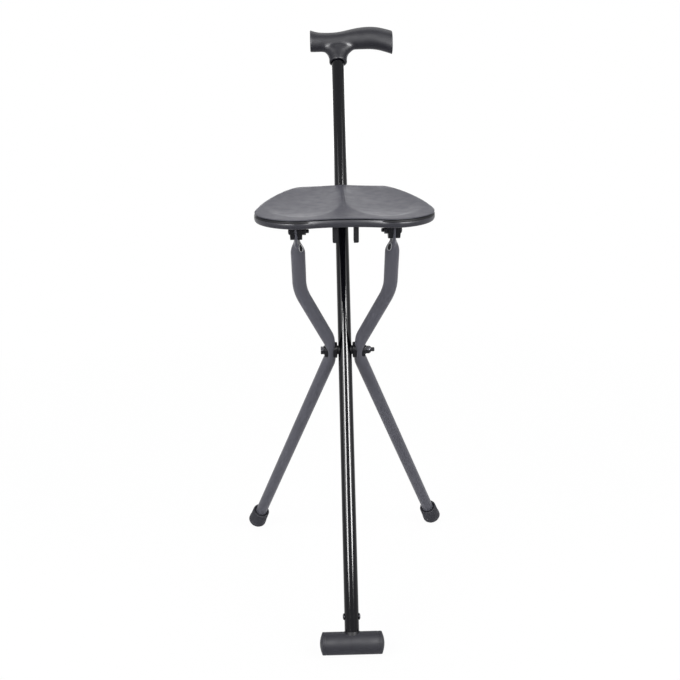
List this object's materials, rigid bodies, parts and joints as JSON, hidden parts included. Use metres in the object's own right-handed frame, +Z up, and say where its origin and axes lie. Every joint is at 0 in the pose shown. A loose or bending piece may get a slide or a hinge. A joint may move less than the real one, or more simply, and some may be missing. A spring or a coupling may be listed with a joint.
{
  "type": "walking stick seat",
  "caption": "Walking stick that opens into a three-legged seat: a leaning stick, two bowed legs and a moulded seat that folds flat against the stick.",
  "frame": {"origin": "on the floor under the middle of the open object's box", "axes": "+Z up, the handle and the T-shaped foot run along X, the T-shaped foot and the seat's front towards -Y, the stick leans back towards +Y"},
  "size_m": [0.315, 0.416, 0.7744],
  "materials": {
    "shaft_paint": "gloss black paint on aluminium tube",
    "leg_paint": "satin grey powder coat on steel tube",
    "grip_plastic": "fine-grained moulded plastic",
    "seat_plastic": "textured moulded plastic",
    "black_plastic": "moulded black plastic",
    "rubber": "moulded rubber",
    "plated_steel": "black and zinc plated steel"
  },
  "bodies": {
    "stick": {"shaft_tube": "shaft_paint", "handle": "grip_plastic", "t_foot": "rubber", "foot_core": "black_plastic", "foot_rivet": "plated_steel", "stop_pin": "plated_steel", "right_spacer": "black_plastic", "left_spacer": "black_plastic"},
    "legs": {"right_leg": "leg_paint", "left_leg": "leg_paint", "right_ferrule": "rubber", "left_ferrule": "rubber", "right_ferrule_disc": "plated_steel", "left_ferrule_disc": "plated_steel", "right_inner_saddle": "black_plastic", "left_inner_saddle": "black_plastic", "right_outer_saddle": "black_plastic", "left_outer_saddle": "black_plastic", "right_pivot_washer": "plated_steel", "left_pivot_washer": "plated_steel", "pivot_bolt": "plated_steel", "pivot_nut": "plated_steel"},
    "seat": {"seat_top": "seat_plastic", "seat_base": "seat_plastic", "right_seat_bolt": "plated_steel", "left_seat_bolt": "plated_steel", "right_seat_nut": "plated_steel", "left_seat_nut": "plated_steel", "guide_pin": "plated_steel", "guide_cap": "black_plastic"}
  },
  "joints": [
    {"name": "legs_fold", "type": "hinge", "parent": "stick", "child": "legs", "pos_m": [0, -0.02354, 0.34129], "axis": [-1, 0, 0], "range_deg": [0, 54.15]},
    {"name": "seat_fold", "type": "hinge", "parent": "legs", "child": "seat", "pos_m": [0, -0.10818, 0.50995], "axis": [1, 0, 0], "range_deg": [0, 110.65]}
  ],
  "couplings": [
    {"joint": "seat_fold", "follows": "legs_fold", "ratio": 2.0433}
  ]
}
